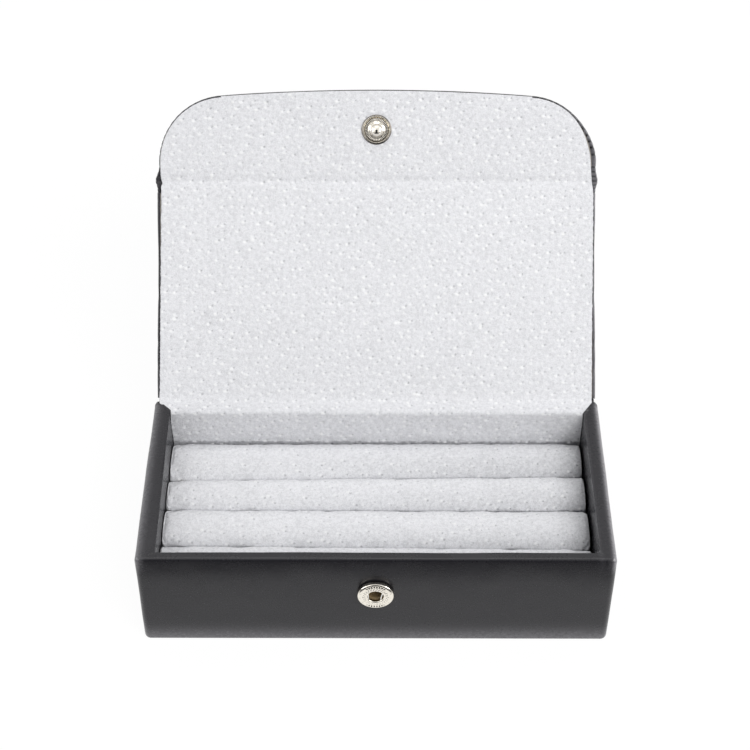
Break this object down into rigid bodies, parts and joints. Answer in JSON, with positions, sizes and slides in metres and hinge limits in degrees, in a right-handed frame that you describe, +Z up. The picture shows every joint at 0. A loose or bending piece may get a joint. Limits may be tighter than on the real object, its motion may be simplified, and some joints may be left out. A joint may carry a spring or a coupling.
{
  "type": "cufflink box",
  "caption": "Leather-covered cufflink box with suede-covered rolls and a hinged lid whose folding flap closes on the front with a press stud.",
  "frame": {"origin": "centre of the flat underside of the tray", "axes": "+X to the right of someone facing the front, +Y to the back where the lid is hinged, +Z up"},
  "size_m": [0.15, 0.1414, 0.1199],
  "materials": {
    "black_leather": "smooth black, satin",
    "grey_suede": "very light grey suede with a short nap",
    "greyboard": "pressed board, raw",
    "foam": "soft foam strip",
    "nickel": "polished nickel plate",
    "nickel_inner": "plain nickel plate",
    "spring_steel": "drawn wire"
  },
  "bodies": {
    "tray": {"bottom_board": "greyboard", "front_board": "greyboard", "rear_board": "greyboard", "left_board": "greyboard", "right_board": "greyboard", "wall_leather": "black_leather", "rear_leather": "black_leather", "bottom_leather": "black_leather", "rear_lining": "grey_suede", "floor_lining": "grey_suede", "roll_foam_1": "foam", "roll_foam_2": "foam", "roll_foam_3": "foam", "roll_foam_4": "foam", "roll_cover_1": "grey_suede", "roll_cover_2": "grey_suede", "roll_cover_3": "grey_suede", "roll_cover_4": "grey_suede", "socket_shell": "nickel", "socket_spring": "spring_steel", "socket_eyelet": "nickel_inner", "hinge_leather": "black_leather", "hinge_lining": "grey_suede"},
    "lid": {"lid_board": "greyboard", "lid_leather": "black_leather", "lid_lining": "grey_suede", "fold_leather": "black_leather", "fold_lining": "grey_suede"},
    "flap": {"flap_board": "greyboard", "flap_leather": "black_leather", "flap_lining": "grey_suede", "stud": "nickel", "stud_rivet": "nickel_inner"}
  },
  "joints": [
    {"name": "lid_hinge", "type": "hinge", "parent": "tray", "child": "lid", "pos_m": [0, 0.0347, 0.04], "axis": [-1, 0, 0], "range_deg": [-133.5, 46.5], "deforming": ["hinge_leather", "hinge_lining"]},
    {"name": "flap_fold", "type": "hinge", "parent": "lid", "child": "flap", "pos_m": [0, 0.08793, 0.09268], "axis": [-1, 0, 0], "range_deg": [-78, 42], "deforming": ["fold_leather", "fold_lining"]}
  ]
}
